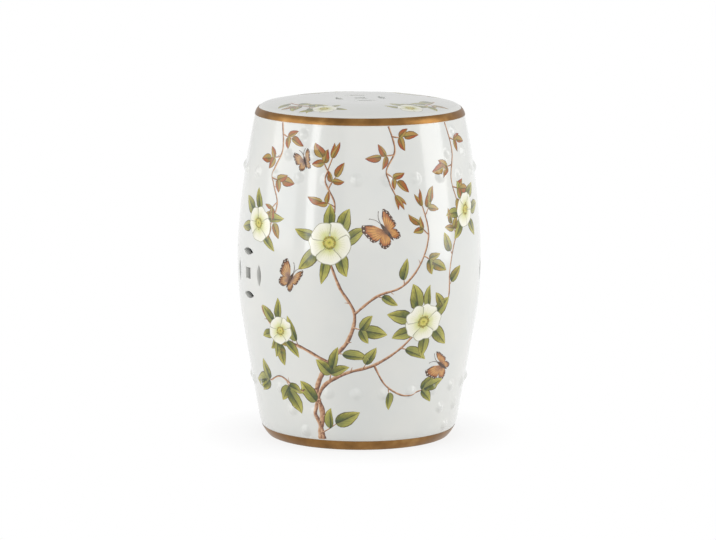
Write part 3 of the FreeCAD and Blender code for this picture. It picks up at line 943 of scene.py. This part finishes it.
    def spur(self, line, share, side):
        """A thorn at a share of a stem."""
        x, y, width = line(share)
        tip = reach_out((x, y), SPUR, way_of(line, share) + side * 0.9)
        self.twig((x, y), tip, width * 0.45, width * 0.3, 0.5)

    def leafy(self, line, shares, size, rust):
        """Single leaves along a stem, left and right in turn."""
        luck = self.luck
        side = luck.choice((-1, 1))
        for share in shares:
            heading = degrees(way_of(line, share, behind=0.02)) + side * (50 + luck.uniform(-14, 14))
            start = line(share)[:2]
            root = reach_out(start, size * 0.22, radians(heading))
            if self.leaf(root, heading + luck.uniform(-15, 15), size * luck.uniform(0.85, 1.12), rust):
                self.twig(start, root, 1.9, 1.6, 1.2)
            side = -side


leaf_paint = Painting("painted_leaves", enamel("leaf_enamel", leaf_colours))
stem_paint = Painting("painted_stems", enamel("bark_enamel", bark_colours))
petal_paint = Painting("painted_petals", enamel("petal_enamel", petal_colours))
heart_paint = Painting("painted_hearts", enamel("heart_enamel", heart_colours))
stamen_paint = Painting("painted_stamens", enamel("stamen_enamel", stamen_colours))
wing_paint = Painting("painted_wings", enamel("wing_enamel", wing_colours))
line_paint = Painting("painted_lines", enamel("outline_enamel", outline_colours))
ROSE_PAINTS = (leaf_paint, stem_paint, petal_paint, heart_paint, stamen_paint)


def butterfly(sheet, middle, span, heading, slate, seed):
    """A butterfly from above, its far wings foreshortened as if it banks."""
    luck = random.Random(seed)
    run, rise = cos(radians(heading)), sin(radians(heading))

    def lay(x, y, lift):
        return sheet.lay(middle, x * run - y * rise, x * rise + y * run, lift)

    for side, wide in ((1, 1.0), (-1, luck.uniform(0.5, 0.75))):
        for first, last, reach, hump, lift in ((100, 172, 0.36, 0.5, 0.12), (28, 104, 0.5, 0.22, 0.15)):
            def wing(u, v):
                share = (v + 1) / 2
                aim = radians(first + (last - first) * share)
                bulge = 0.72 + 0.28 * exp(-(((share - hump) / 0.3) ** 2)) + 0.025 * sin(v * 17)
                edge = 1 - 0.35 * max(0, abs(v) - 0.72) / 0.28
                r = span * reach * bulge * edge * (0.04 + 0.96 * u)
                return lay(r * cos(aim), side * wide * r * sin(aim), lift)

            wing_paint.mark(sheet, (10, 14), wing, (slate, luck.random(), 0))

    def body(u, v):
        half = span * 0.035 * sin(pi * min(u * 1.04, 1)) ** 0.6 * (1 if u < 0.62 else 1.25)
        return lay(span * (0.21 - 0.46 * (1 - u)), half * v, 0.2)

    line_paint.mark(sheet, (10, 4), body)
    for side in (-1, 1):
        def feeler(u, v):
            swell = 0.35 + (0.5 if u > 0.88 else 0)
            return lay(span * (0.2 + 0.2 * u), side * span * (0.01 + 0.11 * u * u) + swell * v, 0.2)

        line_paint.mark(sheet, (8, 1), feeler)


def rose_bush(sheet, seed):
    """The rose that climbs one half of the drum from the foot to the seat."""
    rose = Rose(sheet, seed, ROSE_PAINTS)
    trunk = rose.stem([(-62, 15, 11), (-62, 30, 9.4), (-57, 52, 8.4), (-64, 84, 7.5), (-44, 122, 6.4),
                       (-16, 152, 5.4), (-6, 190, 4.4), (-26, 226, 3.8), (-40, 262, 3.2)])
    twin = rose.stem([(-57, 15.4, 6.5), (-60, 30, 6.4), (-68, 54, 6), (-54, 88, 5.4),
                      (-20, 108, 4.6), (22, 120, 4), (60, 142, 3.4), (84, 166, 2.8)])
    limb = rose.stem([(-44, 122, 5.2), (-82, 140, 4.4), (-116, 150, 3.6), (-146, 178, 3), (-152, 190, 2.4)])
    climb = rose.stem([(-6, 190, 3.8), (24, 214, 3.4), (58, 226, 3), (84, 254, 2.7),
                       (98, 292, 2.4), (90, 330, 2)])
    high = rose.stem([(-40, 300, 3), (-34, 334, 2.7), (-48, 364, 2.4), (-40, 394, 2)])
    low = rose.stem([(-64, 84, 3.8), (-96, 82, 3.2), (-128, 96, 2.6), (-152, 88, 2.2)])
    sprig = rose.stem([(22, 120, 3), (40, 92, 2.6), (70, 76, 2.3), (96, 80, 2)])
    far = rose.stem([(84, 166, 2.8), (116, 178, 2.6), (133, 204, 2.4), (134, 240, 2.1),
                     (144, 276, 2), (162, 302, 1.9)])
    hanging = rose.stem([(44, 435.2, 3), (52, 404, 2.7), (38, 376, 2.4), (50, 346, 2)])
    drape = rose.stem([(-132, 435.2, 3.2), (-124, 400, 3), (-138, 366, 2.7),
                       (-124, 330, 2.5), (-134, 300, 2.2)])
    side = rose.stem([(150, 435.2, 2.8), (158, 398, 2.6), (148, 362, 2.3), (156, 334, 2)])
    for line, shares in (
        (trunk, (0.22, 0.45, 0.62, 0.8)), (twin, (0.35, 0.6)), (limb, (0.35, 0.7)),
        (climb, (0.3, 0.6)), (low, (0.5,)), (drape, (0.3, 0.6)),
    ):
        for number, share in enumerate(shares):
            rose.spur(line, share, 1 if number % 2 else -1)
    for line, shares, size, rust in (
        (trunk, (0.3, 0.56), 32, 0.0), (twin, (0.66, 0.86), 32, 0.05), (limb, (0.3, 0.86), 32, 0.1),
        (climb, (0.2, 0.42), 28, 0.2), (sprig, (0.4,), 28, 0.05), (far, (0.3, 0.5, 0.72), 26, 0.3),
        (drape, (0.92,), 22, 0.6),
    ):
        rose.leafy(line, shares, size, rust)
    for line, share, heading, length, size, rust in (
        (trunk, 0.08, 22, 30, 32, 0.0), (trunk, 0.69, -12, 16, 27, 0.0),
        (twin, 0.48, 78, 18, 28, 0.1), (sprig, 1.0, 8, 10, 30, 0.05),
        (low, 0.55, -62, 14, 30, 0.0), (low, 1.0, 165, 8, 30, 0.05),
        (limb, 0.6, -84, 20, 26, 0.3), (climb, 0.66, -26, 16, 24, 0.35),
    ):
        rose.leaflets(line(share)[:2], heading, length, size, rust)
    for line, shares, rust in (
        (climb, (0.8, 0.92), 0.6), (high, (0.3, 0.55, 0.8), 0.75), (hanging, (0.16, 0.4, 0.68), 0.85),
        (drape, (0.12, 0.32, 0.52, 0.74), 0.8), (side, (0.2, 0.5, 0.78), 0.8), (far, (0.86,), 0.5),
    ):
        for number, share in enumerate(shares):
            heading = degrees(way_of(line, share)) + (-55 if number % 2 else 55)
            rose.leaflets(line(share)[:2], heading, 19, 19, rust)
    for line, rust in ((high, 0.9), (hanging, 0.9), (side, 0.8), (climb, 0.6), (far, 0.6), (drape, 0.7)):
        rose.bud(line, 20, rust)
    rose.leafy_blossom((-40, 284), 60, 7, 0.1, fan=(-30, 330))
    rose.leafy_blossom((92, 176), 58, 7, 0.05, 0.86, 20, (-100, 240))
    rose.leafy_blossom((-118, 160), 46, 5, 0.05, 0.8, 35, (60, 330))
    rose.leafy_blossom((-160, 300), 54, 6, 0.1, 0.85, -30, (0, 330))
    rose.leafy_blossom((176, 318), 50, 6, 0.2, 0.8, 60, (30, 380))


def seat_spray(rose, turn, side, size):
    """A short curved spray on the seat, its rose at the end."""
    aim = radians(turn - 90 + FRONT)
    arc = []
    for step in range(6):
        arc.append((*reach_out((0, 0), 101 + 1.4 * step, aim + side * step * 0.14), 3.2 - 0.3 * step))
    line = rose.stem(arc)
    rose.leafy(line, (0.04, 0.2, 0.36, 0.52, 0.68), 25, 0.1)
    rose.leafy_blossom(line(1.0)[:2], size, 5)
    rose.leaflets(line(0.42)[:2], degrees(aim) + side * 12, 10, 15, 0.6)


for middle, mirror, seed in ((FRONT_TURN, 1, 5), (FRONT_TURN + pi, -1, 23)):
    wall = Wall(middle, mirror)
    rose_bush(wall, seed)
    butterfly(wall, (36, 300), 66, 128, 0.15, seed + 1)
    butterfly(wall, (-96, 232), 56, 60, 0.5, seed + 2)
    butterfly(wall, (136, 112), 58, 150, 0.25, seed + 3)
    butterfly(wall, (-82, 388), 40, 110, 0.6, seed + 4)

seat_rose = Rose(Seat(), 41, ROSE_PAINTS)
for turn, side, size in ((-66, 1, 34), (78, -1, 38), (112, 1, 36), (238, -1, 34)):
    seat_spray(seat_rose, turn, side, size)

for paint in (*ROSE_PAINTS, line_paint, wing_paint):
    paint.fire()


def pale_floor():
    """A pale floor that the camera sees as white, with the stool's shadow close round its foot."""
    deselect_all()
    bpy.ops.mesh.primitive_plane_add(size=12, location=(0, 0, -0.1 * MM))
    floor = bpy.context.object
    floor.name = "studio_floor"
    material, shader, add, place = new_material("pale_floor")
    fill(shader, {"Base Color": srgb("#E8E8E8"), "Roughness": 0.9, "Specular IOR Level": 0.2})
    away = add("VectorMath", [place], "Value", operation="LENGTH")
    white = add("MapRange", {"Value": away, "From Min": 0.14, "From Max": 0.22, "To Min": 0.84})
    rays = add("LightPath").node.outputs
    seen = add("Math", [rays["Is Camera Ray"], rays["Is Glossy Ray"]], operation="MAXIMUM")
    share = add("Math", [seen, white], operation="MULTIPLY")
    glow = add("Emission", {"Color": (1, 1, 1, 1), "Strength": 1.0})
    lit = add("MixShader", [share, shader.outputs[0], glow])
    fill(material.node_tree.nodes["Material Output"], {"Surface": lit})
    floor.data.materials.append(material)


def white_studio():
    """A backdrop that is white to the camera and pale to the stool, half as bright in its gloss."""
    world = bpy.data.worlds.new("white_studio")
    bpy.context.scene.world = world
    world.use_nodes = True
    add = partial(node, world.node_tree)
    rays = add("LightPath").node.outputs
    gloss = add("Math", [rays["Is Glossy Ray"], 0.5], operation="MULTIPLY")
    seen = add("Math", [rays["Is Camera Ray"], gloss], operation="MAXIMUM")
    seen = add("Math", [seen, rays["Is Transmission Ray"]], operation="MAXIMUM")
    strength = add("MapRange", {"Value": seen, "To Min": 0.56})
    fill(world.node_tree.nodes["Background"], {"Color": (1, 1, 1, 1), "Strength": strength})


def lamps():
    """Soft light as in the photograph: a tall panel close by on the right, a slim one on the left,
    and broad weak fills from the left and from the front."""
    drum_middle = Vector((0, 0, 0.24))
    for name, turn, distance, height, size, power in (
        ("right_panel", 66, 1.5, 0.72, (0.75, 1.4), 9),
        ("left_panel", -60, 1.9, 0.75, (0.3, 1.4), 5.5),
        ("left_fill", -95, 2.2, 0.9, (1.6, 1.6), 12),
        ("front_fill", -5, 2.8, 1.0, (2.4, 1.6), 9),
    ):
        data = bpy.data.lights.new(name, "AREA")
        data.shape = "RECTANGLE"
        data.size, data.size_y = size
        data.energy = power
        lamp = add_object(name, data)
        aim = radians(turn)
        lamp.location = (distance * sin(aim), -distance * cos(aim), height)
        look = drum_middle - lamp.location
        lamp.rotation_euler = look.to_track_quat("-Z", "Y").to_euler()


def camera():
    """The photograph's camera: 5 m off and 1 m up with a long lens, a little above the seat, looking
    down by 9 degrees and rolled by a third of one."""
    data = bpy.data.cameras.new("camera")
    data.sensor_width = 36.0
    data.lens = 191.6
    data.clip_end = 100.0
    item = add_object("camera", data)
    away, up = 5.085, 1.035
    aside, down, roll = 0.018, 9.072, 0.3  # in degrees
    item.location = (away * sin(FRONT_TURN), -away * cos(FRONT_TURN), up)
    item.matrix_world = (
        Matrix.Translation(item.location)
        @ Matrix.Rotation(FRONT_TURN + radians(aside), 4, "Z")
        @ Matrix.Rotation(radians(90 - down), 4, "X")
        @ Matrix.Rotation(radians(roll), 4, "Z")
    )
    bpy.context.scene.camera = item


pale_floor()
white_studio()
lamps()
camera()
bpy.context.scene.view_settings.view_transform = "Standard"
